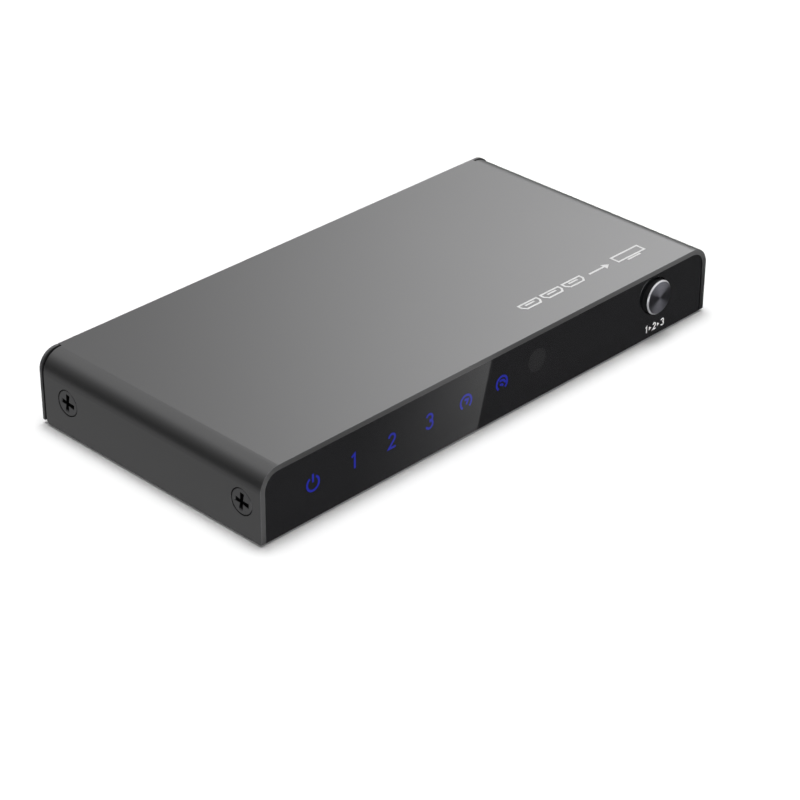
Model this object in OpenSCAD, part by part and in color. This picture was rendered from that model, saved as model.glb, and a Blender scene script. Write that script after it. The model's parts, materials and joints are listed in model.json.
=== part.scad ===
// Video switch box, three inputs to one output. An extruded aluminium cover closes over a folded
// steel tray. The tray carries a black front plate, a push button and a circuit board with the sockets.
// Millimetres. The front faces -Y, +Z is up, the origin is on the ground under the middle of the case.

/* [Case] */
// Width of the cover
case_w = 140; // [126:1:180]
// Depth from the front rim to the outside of the rear wall
case_d = 69; // [62:1:100]
// Height of the cover
case_h = 17; // [15.5:0.5:24]
// Wall of the cover
cover_wall = 1.25; // [1.2:0.05:1.8]
// Outside radius of the cover's two long edges
edge_r = 5; // [3:0.5:6]
// Dark gap between the cover's sides and the rear wall
rear_gap = 0.5; // [0.2:0.1:1]
// How far the roof, which reaches back over the rear wall, stops short of the cover's round edges
roof_inset = 0.4; // [0.2:0.1:1.5]
// How much tighter the rear wall's shoulders are than the cover's round edges
shoulder_cut = 0.7; // [0:0.1:1.2]
// Radius of the cover's lower corners at the rear
corner_rear = 0.8; // [0.3:0.1:1.5]
// Radius of the cover's lower corners at the front
corner_front = 0.4; // [0.2:0.1:1]

/* [Tray] */
// Thickness of the steel sheet
sheet_t = 0.8; // [0.6:0.1:1.2]
// Inside radius of the folds
fold_r = 0.4; // [0.3:0.1:0.8]
// Height of the tray's underside above the cover's lower edge
floor_lift = 0.3; // [0:0.1:0.6]
// Play between the cover and the tray's flanges
tray_play = 0.15; // [0.1:0.05:0.3]
// Height of the side flanges above the tray's underside
flange_h = 12; // [11.5:0.5:14]
// Corner relief beside a fold
relief = 0.6; // [0.4:0.1:1]

/* [Front plate] */
// Thickness of the plate
panel_t = 2; // [1.5:0.1:3]
// Depth of the plate's face behind the cover's rim
panel_recess = 0.15; // [0:0.05:0.4]
// Play between the plate and the cover
panel_play = 0.1; // [0.05:0.05:0.25]
// Thickness of the adhesive sheet
tape_t = 0.2; // [0.1:0.05:0.4]

/* [Signs] */
// First sign, from the cover's left side
lamp_inset = 14.5; // [13:0.5:18]
// Step from sign to sign
lamp_pitch = 11.25; // [9:0.25:13]
// Height of the signs above the board
lamp_rise = 2.6; // [2.5:0.1:3.2]
// Diameter of a light pipe
pipe_d = 4.2; // [3:0.1:4.4]
// Length of the light shield
shield_l = 5; // [4:0.25:6]
// Width of a lamp
lamp_w = 3.2; // [2.4:0.1:4]

/* [Infrared receiver] */
// Height of the lens above the board
ir_rise = 3.75; // [3.4:0.05:4.2]
// Diameter of the lens
ir_lens_d = 4.8; // [4:0.1:5.2]

/* [Select button] */
// Diameter of the cap
cap_d = 8.36; // [7:0.1:8.6]
// How far the cap stands proud of the cover's rim
cap_proud = 1.3; // [0.8:0.1:2.5]
// Button axis, from the cover's right side
button_inset = 17.95; // [16:0.05:24]
// Button axis below the plate's top edge
button_drop = 5.45; // [4.9:0.05:6]
// Play round the cap
cap_play = 0.3; // [0.25:0.05:0.4]
// Travel of the push switch
press_travel = 0.35; // [0.2:0.05:0.6]
// Chamfer of the cap's rim
cap_chamfer = 0.4; // [0.2:0.05:0.6]
// Width of the push switch
tact_w = 6.2; // [5.5:0.1:7]

/* [Circuit board] */
// Thickness of the board
board_t = 1.6; // [1.2:0.1:1.6]
// Height of the standoffs
standoff_h = 3.2; // [2.8:0.1:3.2]
// Play between the board's edges and what is next to them
board_play = 0.4; // [0.3:0.05:0.8]

/* [Sockets] */
// First input, from the cover's left side
socket_inset = 26; // [22:0.5:30]
// Power inlet, from the cover's right side
power_inset = 20; // [18:0.5:24]
// How far the sockets stand proud of the rear wall
socket_proud = 0.6; // [0.2:0.1:1.2]
// Width of a socket's opening
socket_w = 14; // [13.5:0.1:14.5]
// Height of a socket's opening
socket_h = 4.55; // [4.3:0.05:4.9]
// Depth of a socket's shell
socket_l = 11.8; // [10.5:0.1:13]
// Wall of a socket's shell
shell_t = 0.4; // [0.3:0.05:0.5]
// Play between a shell and the rear wall's cut-out
cutout_play = 0.3; // [0.2:0.05:0.5]

/* [Screws and feet] */
// Thread diameter of the case screws
screw_d = 3; // [2.6:0.1:3.2]
// Head diameter of the case screws
screw_head_d = 6; // [5.6:0.05:6.2]
// Length of the case screws
screw_l = 6; // [5:0.25:7]
// Height of the case screws above the cover's lower edge
screw_rise = 8; // [7:0.25:8.5]
// Rear case screws, from the rear wall's face
screw_rear = 8.9; // [7:0.1:14]
// Diameter of a foot
foot_d = 9; // [6:0.5:10]
// Thickness of a foot
foot_h = 0.8; // [0.7:0.1:2]
// Feet, from the cover's sides
foot_side = 10; // [8:0.5:20]
// Feet, from the front and rear
foot_end = 9; // [8:0.5:14]

/* [Hidden] */
$fn = 48;
thread_play = 0.05;
pass_play = 0.2;
rest_gap = 0.05;
over_cut = 1;
seam = 0.5;

// Heights
cover_z = foot_h - floor_lift;
tray_z = foot_h;
floor_z = tray_z + sheet_t;
board_z = floor_z + standoff_h;
top_z = board_z + board_t;
roof_z = cover_z + case_h - cover_wall;
screw_z = cover_z + screw_rise;

// Depths, from the front rim inwards
front_y = -case_d / 2;
rear_y = case_d / 2;
panel_y = front_y + panel_recess;
tape_y = panel_y + panel_t;
wall_y = tape_y + tape_t;
wall_back = wall_y + sheet_t;
collar_t = 1;
collar_y = wall_back + rest_gap;
collar_back = collar_y + collar_t;
board_y = collar_back + press_travel + board_play;
board_end = rear_y - sheet_t - board_play;
shield_y = wall_back + rest_gap;
lamp_y = shield_y + shield_l + rest_gap;
mouth_y = rear_y + socket_proud;
cover_end = rear_y - sheet_t - rear_gap;

// Cover. The sides and the round edges end at cover_end, and only the flat roof goes on to rear_y
roof_half = case_w / 2 - edge_r - roof_inset;

// Tray. The rear wall is open at the top for the roof, between two shoulders that are level with it
rear_r = edge_r - shoulder_cut;
fold_out = fold_r + sheet_t;
tray_half = case_w / 2 - cover_wall - tray_play;
nut_wall = 1.3;
nut_r = screw_d / 2 + nut_wall;
nut_h = 2;
spigot_r = screw_d / 2 + nut_wall / 2;
nut_margin = 0.4;
ear_l = nut_r + nut_margin;
wall_half = tray_half - max(fold_out, sheet_t + nut_h) - relief;
fold_arm = fold_out + 1.5;
ear_y = wall_y + tray_play;
screw_ys = [ear_y + ear_l, rear_y - screw_rear];
seat_z = cover_wall + tray_play;
head_sink = 0.05;
head_land = 0.2;
head_r = screw_head_d / 2;
thread_r = screw_d / 2 - thread_play;
head_z = head_sink + head_land + head_r - thread_r;
nut_lead = max(head_land, head_z + thread_play - seat_z);
mouth_r = head_r + head_land + head_sink;
tip_chamfer = 0.4;
cross_l = 4.5;
cross_w = 1.2;
cross_neck = 0.8;
cross_h = 1.4;
wall_end = 0.2;

// Lamps, receiver and button
lamp_xs = [for (i = [0:5]) -case_w / 2 + lamp_inset + i * lamp_pitch];
lamp_z = top_z + lamp_rise;
pipe_r = pipe_d / 2;
pipe_chamfer = 0.2;
pipe_gap = 0.2;
shield_end = 3;
shield_roof = 0.6;
lamp_l = 2;
lamp_lens_l = 0.5;
lamp_lens_r = 1.2;
lamp_cap = 1.6;
ir_x = -case_w / 2 + lamp_inset + 6 * lamp_pitch;
ir_z = top_z + ir_rise;
ir_w = 6;
ir_l = 3.6;
ir_cap = 2.9;
ir_gap = 0.5;
ir_window = 0.5;
ir_y = wall_back + ir_gap * 2 + ir_lens_d / 2;
ir_pitch = 1.6;
ir_lead_w = 0.5;
ir_lead_t = 0.4;
ir_lead_y = ir_y + ir_l / 2;
button_x = case_w / 2 - button_inset;
button_z = roof_z - panel_play - button_drop;
button_rise = button_z - top_z;
cap_r = cap_d / 2;
hole_r = cap_r + cap_play;
collar_lip = 0.5;
collar_r = hole_r + collar_lip;
cap_y = front_y - cap_proud;
cap_top = 0.9;
cap_skirt = 1;
cap_bore_r = cap_r - cap_skirt;
plunger_chamfer = 0.3;
stem_r = 1.7;
stem_reach = 0.9;
stem_out = press_travel + stem_reach;
stem_in = 0.6;
stem_play = 0.3;
link_l = 3;
link_back = collar_back + link_l;
tact_y = link_back + stem_out;
tact_l = 3.6;

// Board
board_w = case_w - 2 * (screw_l + pass_play + board_play);
board_mid = (board_y + board_end) / 2;
board_hole_side = 5;
board_hole_front = 14.75;
board_hole_rear = 16;
board_hole_xs = [-board_w / 2 + board_hole_side, board_w / 2 - board_hole_side];
board_hole_ys = [board_y + board_hole_front, board_end - board_hole_rear];
board_screw_r = 1.5;
board_head_r = 2.7;
board_head_h = 1.7;
board_cross_l = 2.6;
board_cross_w = 0.6;
board_cross_h = 1.1;
standoff_r = 2.75;
shank_r = 2.1;
peg_r = 0.9;
peg_side = 1.6;
peg_xs = [lamp_xs[0] - pipe_r - peg_side, lamp_xs[5] + pipe_r + peg_side];
peg_y = board_y + peg_side;

// Sockets
power_x = case_w / 2 - power_inset;
socket_x = -case_w / 2 + socket_inset;
socket_pitch = (power_x - socket_x) / 4;
SOCKET_NAMES = ["input_1", "input_2", "input_3", "output"];
SOCKETS = [for (i = [0:3]) [SOCKET_NAMES[i], socket_x + i * socket_pitch]];
socket_z = top_z + shell_t;
socket_skew_w = 1.7;
socket_skew_h = 1.9;
socket_leg_w = 1.2;
socket_leg_front = 4;
socket_leg_rear = 2.2;
socket_leg_ys = [mouth_y - socket_leg_front, mouth_y - socket_l + socket_leg_rear];
socket_leg_top = top_z + shell_t + socket_skew_h + socket_leg_w / 2;
socket_corner = 0.4;
leg_drop = 0.6;
block_l = 3.8;
block_y = mouth_y - socket_l;
tongue_side = 1.05;
tongue_w = socket_w - 2 * tongue_side;
tongue_t = 1.5;
tongue_set = 1.2;
tongue_drop = 2.15;
tongue_z = socket_z + socket_h - tongue_drop;
contact_pitch = 1;
contact_w = 0.45;
contact_t = 0.12;
contact_set = 0.5;
contact_y = block_y + block_l + contact_set;
contact_l = mouth_y - tongue_set - contact_set - contact_y;
power_w = 8.34;
power_h = 2.56;
power_l = 7.6;
power_t = 0.3;
power_z = top_z + power_t;
power_leg_rear = 2.2;
power_leg_y = mouth_y - power_l + power_leg_rear;
power_block_l = 2;
power_tongue_w = 6.7;
power_tongue_t = 0.7;
power_tongue_set = 0.9;
power_contact_pitch = 0.5;
power_contact_w = 0.25;
power_contact_t = 0.1;

// Chips
chip_shift = 2.4;
chip_y = board_mid - chip_shift;
row_y = 8;
chip_w = 10;
pad_margin = 0.5;
chip_h = 0.9;
pad_h = 0.5;
sink_w = 18;
sink_base = 1.5;
sink_fin_h = 4;
sink_fins = 7;
sink_fin_t = 0.9;
controller_w = 7;
controller_h = 1.4;
lead_lift = 0.1;
lead_l = 1;
lead_t = 0.5;
fine_pitch = 0.8;
fine_lead_w = 0.3;
regulator_w = 4;
regulator_l = 5;
regulator_pitch = 1.27;
coarse_lead_w = 0.4;
inductor_w = 6;
inductor_base = 1;
inductor_h = 2.8;
can_base_w = 5.3;
can_base_h = 0.7;
can_r = 2.5;
can_h = 5.5;
can_pitch = 8;
crystal_w = 3.6;
crystal_l = 2.8;
crystal_base = 0.4;
crystal_h = 0.9;
crystal_step = 0.2;
foot_chamfer = 0.3;

// A flat outline (x, z) carried from y0 to y1
module along_y(y0, y1) {
    translate([0, y1, 0]) rotate([90, 0, 0]) linear_extrude(y1 - y0) children();
}

// A flat outline (y, z) carried from x0 to x1
module along_x(x0, x1) {
    translate([x0, 0, 0]) rotate([90, 0, 90]) linear_extrude(x1 - x0) children();
}

// Flat foot, straight sides and two round shoulders
module arch(w, h, r) {
    difference() {
        translate([-w / 2, 0]) square([w, h]);
        for (side = [-1, 1]) translate([side * (w / 2 - r), h - r]) difference() {
            translate([side > 0 ? 0 : -2 * r, 0]) square(2 * r);
            circle(r);
        }
    }
}

// A rectangle from the origin whose corner at the origin is round
module round_block(a, b, r) {
    difference() {
        square([a, b]);
        corner_waste(r);
    }
}

// What rounding takes off a corner at the origin whose sides run along +x and +y
module corner_waste(r) {
    difference() {
        translate([-over_cut, -over_cut]) square(r + over_cut);
        translate([r, r]) circle(r);
    }
}

// A folded strip of sheet: its corner is at the origin, its arms run along +x and +y
module fold_strip() {
    difference() {
        round_block(fold_arm, fold_arm, fold_out);
        translate([sheet_t, sheet_t]) round_block(fold_arm, fold_arm, fold_r);
    }
}

// The arc that rounds corner b between a and c
function round_corner(a, b, c, r, n) =
    let (
        u = (a - b) / norm(a - b), v = (c - b) / norm(c - b), half = acos(u * v) / 2,
        mid = b + (u + v) / norm(u + v) * r / sin(half),
        s = b + u * r / tan(half) - mid, e = b + v * r / tan(half) - mid,
        a0 = atan2(s.y, s.x), sweep = (atan2(e.y, e.x) - a0 + 900) % 360 - 180
    ) [for (i = [0:n]) mid + r * [cos(a0 + sweep * i / n), sin(a0 + sweep * i / n)]];

// A closed outline with every corner rounded
function rounded(points, r, n = 4) =
    let (k = len(points))
    [for (i = [0:k - 1]) each round_corner(points[(i + k - 1) % k], points[i], points[(i + 1) % k], r, n)];

// The socket's opening, wide above and bevelled below, grown outwards on every side
function socket_outline(grow) =
    let (
        lean = atan2(socket_skew_h, socket_skew_w), half = socket_w / 2,
        knee = socket_skew_h - grow * tan((90 - lean) / 2),
        toe = half - socket_skew_w + grow * tan(lean / 2)
    ) [
        [half + grow, socket_h + grow], [half + grow, knee], [toe, -grow],
        [-toe, -grow], [-half - grow, knee], [-half - grow, socket_h + grow]
    ];

// The power inlet's opening, grown outwards on every side
function power_outline(grow) =
    let (w = power_w / 2 + grow, h = power_h + grow)
    rounded([[w, h], [w, -grow], [-w, -grow], [-w, h]], power_h / 2 + grow - 0.001, 10);

// Puts a piece that is drawn along +Z at the case screws, pointing inwards from the cover's side
module at_case_screws() {
    for (side = [-1, 1], y = screw_ys)
        translate([side * case_w / 2, y, screw_z]) rotate([0, -side * 90, 0]) children();
}

module top_cover() color("#6c6d71") difference() {
    translate([0, 0, cover_z]) along_y(front_y, rear_y) difference() {
        arch(case_w, case_h, edge_r);
        translate([0, -over_cut])
            arch(case_w - 2 * cover_wall, case_h - cover_wall + over_cut, edge_r - cover_wall);
    }
    for (side = [0, 1]) mirror([side, 0, 0]) translate([roof_half, cover_end, cover_z - over_cut])
        cube([case_w, rear_y - cover_end + over_cut, case_h + 2 * over_cut]);
    at_case_screws() {
        bore = screw_d / 2 + pass_play;
        translate([0, 0, -over_cut]) cylinder(h = mouth_r - bore + over_cut, r1 = mouth_r + over_cut, r2 = bore);
        translate([0, 0, -over_cut]) cylinder(h = cover_wall + 2 * over_cut, r = bore);
    }
    along_x(-case_w, case_w) {
        translate([front_y, cover_z]) corner_waste(corner_front);
        translate([cover_end, cover_z]) mirror([1, 0]) corner_waste(corner_rear);
    }
}

module tray_floor() {
    difference() {
        translate([-tray_half + fold_out, wall_y + fold_out, tray_z])
            cube([2 * (tray_half - fold_out), rear_y - wall_y - 2 * fold_out, sheet_t]);
        for (x = board_hole_xs, y = board_hole_ys) translate([x, y, tray_z - over_cut])
            cylinder(h = sheet_t + 2 * over_cut, r = shank_r + thread_play);
    }
}

module wall_outline() {
    translate([0, tray_z + fold_out])
        arch(2 * wall_half, roof_z - panel_play - pass_play - tray_z - fold_out, edge_r - cover_wall);
}

module tray_front() {
    translate([0, wall_y, tray_z]) along_x(-wall_half, wall_half) fold_strip();
    along_y(wall_y, wall_back) difference() {
        wall_outline();
        for (x = lamp_xs) translate([x, lamp_z]) circle(pipe_r + pass_play);
        translate([ir_x, ir_z]) circle(ir_lens_d / 2 + ir_window);
        translate([button_x, button_z]) circle(hole_r);
    }
}

module tray_rear() {
    translate([0, rear_y, tray_z]) along_x(-tray_half + fold_out, tray_half - fold_out) mirror([1, 0]) fold_strip();
    along_y(rear_y - sheet_t, rear_y) difference() {
        union() {
            translate([0, tray_z + fold_out])
                arch(case_w, cover_z + case_h - tray_z - fold_out, rear_r);
            for (side = [0, 1]) mirror([side, 0]) translate([tray_half - fold_out + relief, tray_z + wall_end])
                square([cover_wall + tray_play + fold_out - relief, fold_out]);
        }
        translate([-roof_half - pass_play, roof_z - pass_play])
            square([2 * (roof_half + pass_play), cover_wall + pass_play + over_cut]);
        for (s = SOCKETS) translate([s[1], socket_z])
            polygon(rounded(socket_outline(shell_t + cutout_play), socket_corner + shell_t + cutout_play / 2));
        translate([power_x, power_z]) polygon(power_outline(power_t + cutout_play));
    }
}

module tray_flange(side) {
    along_y(wall_y + fold_out + relief, rear_y - fold_out - relief)
        translate([side * tray_half, tray_z]) mirror([side > 0 ? 1 : 0, 0]) fold_strip();
    difference() {
        translate([side > 0 ? tray_half - sheet_t : -tray_half, ear_y, tray_z + fold_out])
            cube([sheet_t, cover_end - ear_y, flange_h - fold_out]);
        for (y = screw_ys) translate([side * (tray_half + over_cut), y, screw_z]) rotate([0, -side * 90, 0])
            cylinder(h = sheet_t + 2 * over_cut, r = spigot_r + thread_play);
    }
}

module base_tray() color("#4a4b4f") union() {
    tray_floor();
    tray_front();
    tray_rear();
    tray_flange(-1);
    tray_flange(1);
}

module panel_outline(inset) {
    w = case_w - 2 * (cover_wall + panel_play + inset);
    translate([0, cover_z + inset])
        arch(w, roof_z - panel_play - cover_z - 2 * inset, edge_r - cover_wall - panel_play - inset);
}

module front_panel() color("#141416") along_y(panel_y, tape_y) difference() {
    panel_outline(0);
    translate([button_x, button_z]) circle(hole_r);
}

module panel_adhesive() color("#303034") along_y(tape_y, wall_y) difference() {
    wall_outline();
    for (x = lamp_xs) translate([x, lamp_z]) circle(pipe_r + pass_play);
    translate([ir_x, ir_z]) circle(ir_lens_d / 2 + ir_window);
    translate([button_x - collar_r, button_z - collar_r]) square([2 * collar_r, case_h]);
}

module case_screws() color("#1c1c1e") at_case_screws() difference() {
    rotate_extrude() polygon([
        [0, head_sink], [head_r - head_land, head_sink], [head_r, head_sink + head_land], [thread_r, head_z],
        [thread_r, screw_l - tip_chamfer], [thread_r - tip_chamfer, screw_l], [0, screw_l]
    ]);
    cross_recess();
}

// Four arms that widen outwards, on a conical floor
module cross_recess() {
    slope = (cross_l - cross_neck) / 2 / cross_h;
    intersection() {
        translate([0, 0, -over_cut]) linear_extrude(cross_h + over_cut) for (turn = [6, 96]) rotate(turn) polygon([
            [-cross_l / 2, -cross_w / 2], [0, -cross_neck / 2], [cross_l / 2, -cross_w / 2],
            [cross_l / 2, cross_w / 2], [0, cross_neck / 2], [-cross_l / 2, cross_w / 2]
        ]);
        translate([0, 0, -over_cut])
            cylinder(h = cross_h + over_cut, r1 = cross_l / 2 + slope * over_cut, r2 = cross_neck / 2);
    }
}

module clinch_nuts() color("#b9babd") at_case_screws() rotate_extrude() {
    bore = screw_d / 2;
    back = seat_z + sheet_t;
    polygon([
        [bore + nut_lead, seat_z], [spigot_r, seat_z], [spigot_r, back], [nut_r, back],
        [nut_r, back + nut_h], [bore, back + nut_h], [bore, seat_z + nut_lead]
    ]);
}

module light_shield() color("#202022") {
    x0 = lamp_xs[0] - pipe_r - shield_end;
    x1 = lamp_xs[5] + pipe_r + shield_end;
    difference() {
        translate([x0, shield_y, top_z]) cube([x1 - x0, shield_l, lamp_rise + pipe_r + shield_roof]);
        for (x = lamp_xs) translate([x, shield_y - over_cut, lamp_z]) rotate([-90, 0, 0])
            cylinder(h = shield_l + 2 * over_cut, r = pipe_r + thread_play);
    }
    for (x = peg_xs) translate([x, peg_y, board_z]) cylinder(h = board_t + seam, r = peg_r);
}

module light_pipe(i) color("#dfe7f2") translate([lamp_xs[i - 1], tape_y, lamp_z]) rotate([-90, 0, 0])
    rotate_extrude() {
        end = lamp_y - tape_y - pipe_gap;
        polygon([
            [0, 0], [pipe_r - pipe_chamfer, 0], [pipe_r, pipe_chamfer], [pipe_r, end - 2 * pipe_chamfer],
            [pipe_r - 2 * pipe_chamfer, end], [0, end]
        ]);
    }

module indicator_lamps() color("#e8e8ea") for (x = lamp_xs) {
    translate([x - lamp_w / 2, lamp_y + lamp_lens_l, top_z]) cube([lamp_w, lamp_l, lamp_rise + lamp_cap]);
    translate([x, lamp_y, lamp_z]) rotate([-90, 0, 0])
        cylinder(h = lamp_lens_l + seam, r1 = lamp_lens_r - lamp_lens_l / 2, r2 = lamp_lens_r);
}

module ir_receiver() color("#26262c") {
    translate([ir_x - ir_w / 2, ir_y, top_z + ir_gap]) cube([ir_w, ir_l, ir_rise + ir_cap]);
    intersection() {
        translate([ir_x, ir_y, ir_z]) sphere(ir_lens_d / 2);
        translate([ir_x - ir_lens_d, ir_y - ir_lens_d, ir_z - ir_lens_d])
            cube([2 * ir_lens_d, ir_lens_d + seam, 2 * ir_lens_d]);
    }
    for (i = [-1:1]) translate([ir_x + i * ir_pitch - ir_lead_w / 2, ir_lead_y - ir_lead_t / 2, board_z - leg_drop])
        cube([ir_lead_w, ir_lead_t, board_t + leg_drop + ir_gap + seam]);
}

module button_cap() color("#8d8f96") translate([button_x, cap_y, button_z]) rotate([-90, 0, 0])
    rotate_extrude() polygon([
        [0, 0], [cap_r - cap_chamfer, 0], [cap_r, cap_chamfer], [cap_r, collar_y - cap_y],
        [cap_bore_r, collar_y - cap_y], [cap_bore_r, cap_top], [0, cap_top]
    ]);

module button_plunger() color("#202022") translate([button_x, cap_y, button_z]) rotate([-90, 0, 0])
    rotate_extrude() polygon([
        [0, cap_top], [cap_bore_r - plunger_chamfer, cap_top],
        [cap_bore_r - thread_play, cap_top + plunger_chamfer],
        [cap_bore_r - thread_play, collar_y - cap_y], [collar_r, collar_y - cap_y],
        [collar_r, collar_back - cap_y], [stem_r + plunger_chamfer, collar_back - cap_y], [stem_r, link_back - cap_y],
        [0, link_back - cap_y]
    ]);

module tact_stem() color("#2c2c30") translate([button_x, link_back, button_z]) rotate([-90, 0, 0])
    cylinder(h = stem_out + stem_in, r = stem_r);

module tact_switch() color("#3a3a3e") difference() {
    translate([button_x - tact_w / 2, tact_y, top_z]) cube([tact_w, tact_l, button_rise + tact_w / 2]);
    translate([button_x, tact_y - over_cut, button_z]) rotate([-90, 0, 0])
        cylinder(h = over_cut + stem_in + press_travel + stem_play, r = stem_r + stem_play);
}

// A slot in the board for a leg of the given width and thickness
module leg_slot(x, y, w, t) {
    translate([x - t / 2 - pass_play, y - w / 2 - pass_play]) square([t + 2 * pass_play, w + 2 * pass_play]);
}

module board_cuts() {
    for (x = board_hole_xs, y = board_hole_ys) translate([x, y]) circle(board_screw_r + pass_play);
    for (x = peg_xs) translate([x, peg_y]) circle(peg_r + thread_play);
    for (i = [-1:1]) leg_slot(ir_x + i * ir_pitch, ir_lead_y, ir_lead_t, ir_lead_w);
    for (s = SOCKETS, side = [-1, 1], y = socket_leg_ys)
        leg_slot(s[1] + side * (socket_w + shell_t) / 2, y, socket_leg_w, shell_t);
    for (side = [-1, 1]) leg_slot(power_x + side * (power_w + power_t) / 2, power_leg_y, socket_leg_w, power_t);
}

module circuit_board() color("#1d5a3a") translate([0, 0, board_z]) linear_extrude(board_t) difference() {
    translate([-board_w / 2, board_y]) square([board_w, board_end - board_y]);
    board_cuts();
}

module board_standoffs() color("#c4c5c8") for (x = board_hole_xs, y = board_hole_ys)
    translate([x, y, 0]) rotate_extrude() polygon([
        [board_screw_r, tray_z + thread_play], [shank_r, tray_z + thread_play], [shank_r, floor_z],
        [standoff_r, floor_z], [standoff_r, board_z], [board_screw_r, board_z]
    ]);

module board_screws() color("#cfd0d2") for (x = board_hole_xs, y = board_hole_ys)
    translate([x, y, top_z]) difference() {
        rotate_extrude() polygon([
            [0, board_head_h], [board_head_r * 0.7, board_head_h], [board_head_r, board_head_h * 0.6],
            [board_head_r, 0], [board_screw_r - thread_play, 0],
            [board_screw_r - thread_play, -board_t - standoff_h + tip_chamfer],
            [0, -board_t - standoff_h + tip_chamfer]
        ]);
        for (turn = [20, 110]) rotate([0, 0, turn])
            translate([-board_cross_l / 2, -board_cross_w / 2, board_head_h - board_cross_h])
                cube([board_cross_l, board_cross_w, board_cross_h + over_cut]);
    }

// A leg from a socket's side down through the board
module socket_leg(x, y, t, top) {
    translate([x - t / 2, y - socket_leg_w / 2, board_z - leg_drop])
        cube([t, socket_leg_w, top - board_z + leg_drop]);
}

module socket_shell(x) color("#c9cacd") {
    translate([x, 0, socket_z]) along_y(block_y, mouth_y) difference() {
        polygon(rounded(socket_outline(shell_t), socket_corner + shell_t));
        polygon(rounded(socket_outline(0), socket_corner));
    }
    for (side = [-1, 1], y = socket_leg_ys)
        socket_leg(x + side * (socket_w + shell_t) / 2, y, shell_t, socket_leg_top);
}

module socket_insert(x) color("#1a1a1c") {
    translate([x, 0, socket_z]) along_y(block_y, block_y + block_l)
        polygon(rounded(socket_outline(-thread_play), socket_corner));
    along_y(block_y + seam, mouth_y - tongue_set)
        translate([x - tongue_w / 2, tongue_z - tongue_t / 2]) square([tongue_w, tongue_t]);
}

// A row of contacts side by side, centred on x
module contact_row(x, z, count) {
    for (i = [0:count - 1])
        translate([x + (i - (count - 1) / 2) * contact_pitch - contact_w / 2, contact_y, z])
            cube([contact_w, contact_l, contact_t]);
}

module socket_contacts(x) color("#d8b24a") {
    contact_row(x, tongue_z + tongue_t / 2, 10);
    contact_row(x, tongue_z - tongue_t / 2 - contact_t, 9);
}

module power_shell() color("#c9cacd") {
    translate([power_x, 0, power_z]) along_y(mouth_y - power_l, mouth_y) difference() {
        polygon(power_outline(power_t));
        polygon(power_outline(0));
    }
    for (side = [-1, 1])
        socket_leg(power_x + side * (power_w + power_t) / 2, power_leg_y, power_t, power_z + power_h / 2 + power_t);
}

module power_tongue() color("#1a1a1c") {
    translate([power_x, 0, power_z]) along_y(mouth_y - power_l, mouth_y - power_l + power_block_l)
        polygon(power_outline(-thread_play));
    along_y(mouth_y - power_l + seam, mouth_y - power_tongue_set)
        translate([power_x - power_tongue_w / 2, power_z + power_h / 2 - power_tongue_t / 2])
            square([power_tongue_w, power_tongue_t]);
}

module power_contacts() color("#d8b24a") {
    y = mouth_y - power_l + power_block_l + contact_set;
    for (i = [0:11], side = [-1, 1]) translate([
        power_x + (i - 5.5) * power_contact_pitch - power_contact_w / 2, y,
        power_z + power_h / 2 + side * (power_tongue_t + power_contact_t) / 2 - power_contact_t / 2
    ]) cube([power_contact_w, mouth_y - power_tongue_set - contact_set - y, power_contact_t]);
}

// A block centred on the origin that stands at height z
module block(w, l, h, z = 0) {
    translate([-w / 2, -l / 2, z]) cube([w, l, h]);
}

module switch_chip() color("#222226") translate([0, chip_y, top_z]) block(chip_w, chip_w, chip_h);

module thermal_pad() color("#9aa3ad") translate([0, chip_y, top_z + chip_h])
    block(chip_w - 2 * pad_margin, chip_w - 2 * pad_margin, pad_h);

module heat_sink() color("#3f4046") translate([0, chip_y, top_z + chip_h + pad_h]) {
    block(sink_w, sink_w, sink_base);
    for (i = [0:sink_fins - 1]) translate([(i / (sink_fins - 1) - 0.5) * (sink_w - sink_fin_t), 0, 0])
        block(sink_fin_t, sink_w, sink_base + sink_fin_h);
}

module controller_chip() color("#242428") translate([-board_w / 4 - sink_w / 4, chip_y - row_y, top_z]) {
    block(controller_w, controller_w, controller_h - lead_lift, lead_lift);
    for (turn = [0:90:270], i = [-3.5:3.5]) rotate([0, 0, turn])
        translate([(controller_w + lead_l - seam) / 2, i * fine_pitch, 0])
            block(lead_l + seam, fine_lead_w, lead_t);
}

module regulator_chip() color("#242428") translate([board_w / 4, chip_y + row_y / 2, top_z]) {
    block(regulator_w, regulator_l, controller_h, lead_lift);
    for (i = [-1.5:1.5]) translate([0, i * regulator_pitch, 0])
        block(regulator_w + 2 * lead_l, coarse_lead_w, lead_t);
}

module power_inductor() color("#55565a") translate([board_w / 4 + can_pitch, chip_y + row_y / 2, top_z]) {
    block(inductor_w, inductor_w, inductor_base);
    cylinder(h = inductor_h, r = inductor_w / 2 - crystal_step);
}

module capacitors() color("#b4b6ba") for (i = [-1:1])
    translate([board_w / 4 + i * can_pitch, chip_y - row_y, top_z]) {
        block(can_base_w, can_base_w, can_base_h);
        cylinder(h = can_h, r = can_r);
    }

module crystal() color("#cdced2") translate([-board_w / 4 + crystal_w, chip_y - row_y, top_z]) {
    block(crystal_w, crystal_l, crystal_base);
    block(crystal_w - 2 * crystal_step, crystal_l - 2 * crystal_step, crystal_h);
}

module rubber_foot(i) color("#18181a")
    translate([
        (i % 2 == 1 ? -1 : 1) * (case_w / 2 - foot_side), (i < 3 ? -1 : 1) * (case_d / 2 - foot_end), 0
    ]) rotate_extrude() polygon([
        [0, 0], [foot_d / 2 - foot_chamfer, 0], [foot_d / 2, foot_chamfer], [foot_d / 2, foot_h], [0, foot_h]
    ]);

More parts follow.
